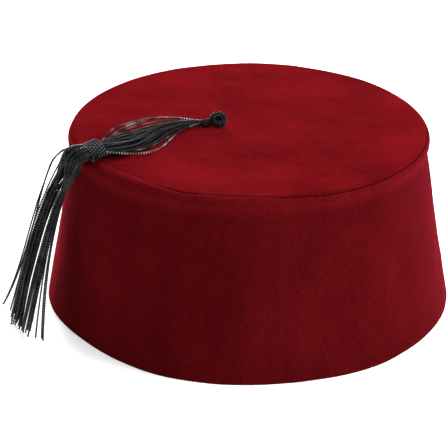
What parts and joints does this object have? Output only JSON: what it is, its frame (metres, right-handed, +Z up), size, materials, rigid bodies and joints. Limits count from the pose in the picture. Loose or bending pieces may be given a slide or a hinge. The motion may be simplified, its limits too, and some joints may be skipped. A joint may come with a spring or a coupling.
{
  "type": "fez hat",
  "caption": "Tapering fez with a flat crown, a rolled shoulder seam and a black corded tassel that lies on the crown and hangs over its edge.",
  "frame": {"origin": "on the surface that the hat rests on, under the middle of the whole object's box", "axes": "+Z up through the crown, +X to the right seen from the front, -Y towards the front; the tassel hangs at the left front"},
  "size_m": [0.215, 0.1904, 0.0945],
  "materials": {
    "velvet": "short cut pile with a soft sheen at grazing angles",
    "cord": "glossy twisted rayon cord"
  },
  "bodies": {
    "root": {"crown_side": "velvet", "crown_top": "velvet", "tassel_knot": "cord", "tassel_hanger": "cord", "tassel_binding": "cord", "tassel_skirt": "cord"}
  },
  "joints": []
}
